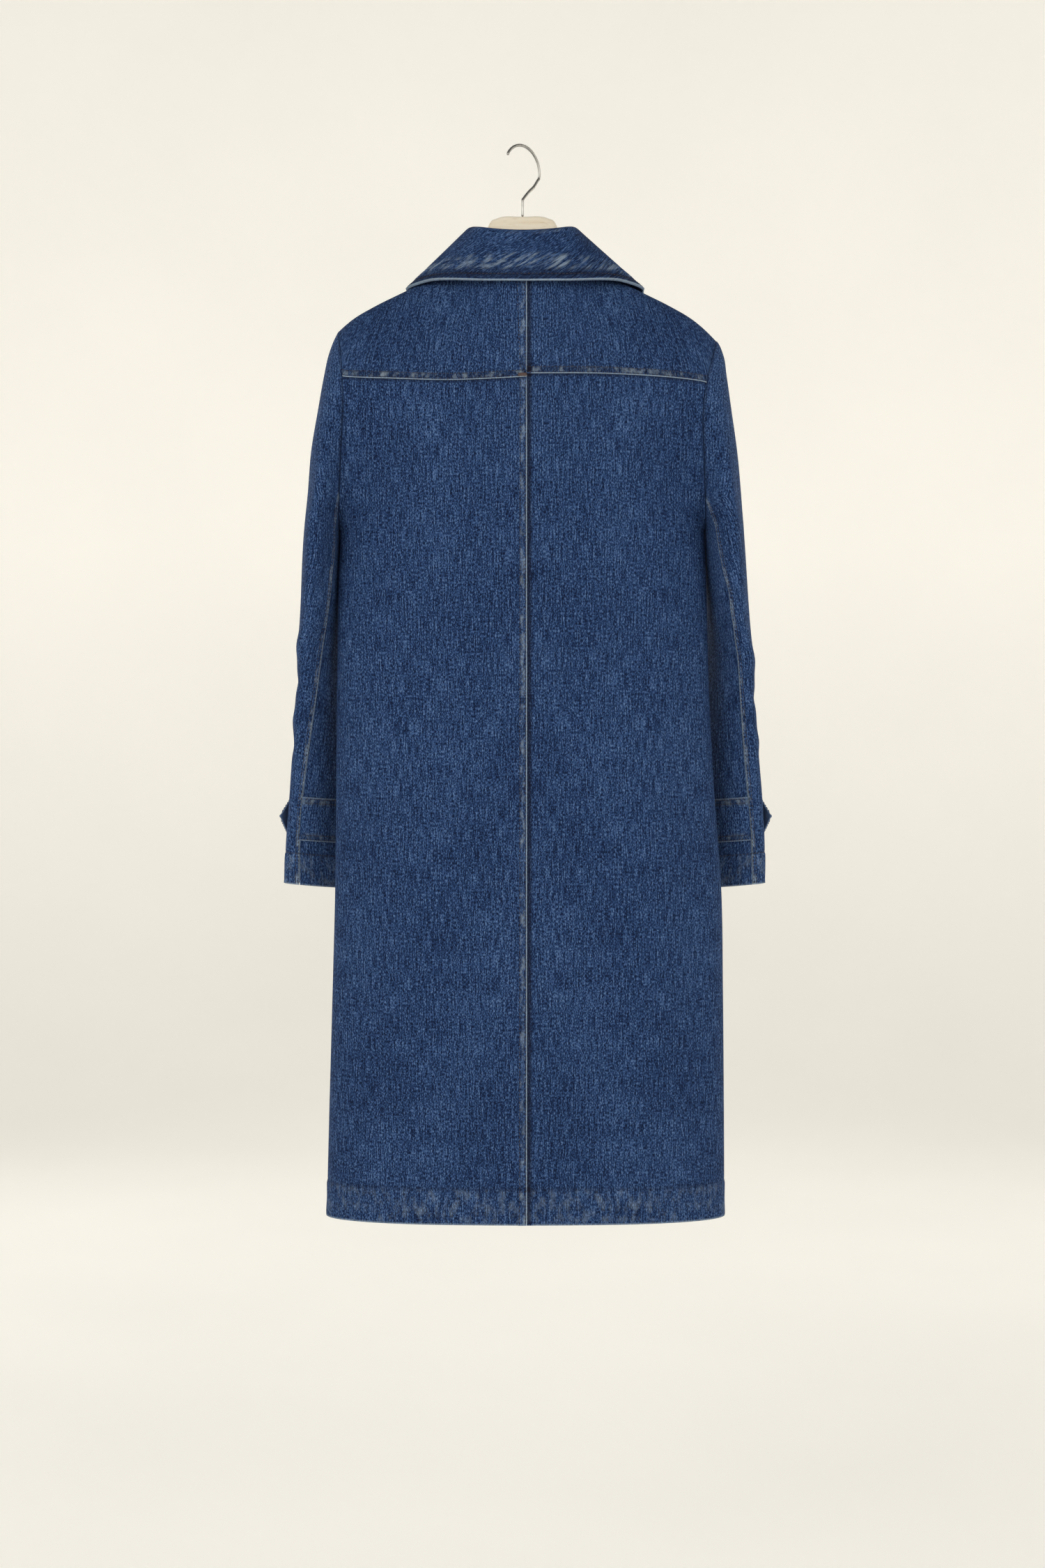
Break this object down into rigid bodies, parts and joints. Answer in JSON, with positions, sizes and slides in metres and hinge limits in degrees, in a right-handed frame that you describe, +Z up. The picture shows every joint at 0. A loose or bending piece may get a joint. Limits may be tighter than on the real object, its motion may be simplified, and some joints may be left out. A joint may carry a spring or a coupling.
{
  "type": "denim coat on a hanger",
  "caption": "Knee-length denim coat hung on a wooden hanger, with a turned-down collar, a back yoke, a lapped centre-back seam and strapped cuffs.",
  "frame": {"origin": "inside top of the hanger's hook, where a rail bears", "axes": "+Z up, +Y towards the coat's front, so the coat's back faces -Y, and +X the wearer's right"},
  "size_m": [0.5713, 0.2076, 1.2275],
  "materials": {
    "denim": "washed indigo denim",
    "button": "dark button",
    "beech": "clear varnished beech",
    "steel": "plain wire"
  },
  "bodies": {
    "root": {"yoke_left": "denim", "yoke_right": "denim", "back_left": "denim", "back_right": "denim", "front_left": "denim", "front_right": "denim", "sleeve_upper_left": "denim", "sleeve_upper_right": "denim", "sleeve_under_left": "denim", "sleeve_under_right": "denim", "strap_left": "denim", "strap_right": "denim", "collar": "denim", "strap_button_left": "button", "strap_button_right": "button", "front_button_1": "button", "front_button_2": "button", "front_button_3": "button", "front_button_4": "button", "front_button_5": "button", "hanger_wood": "beech", "hanger_hook": "steel"}
  },
  "joints": []
}
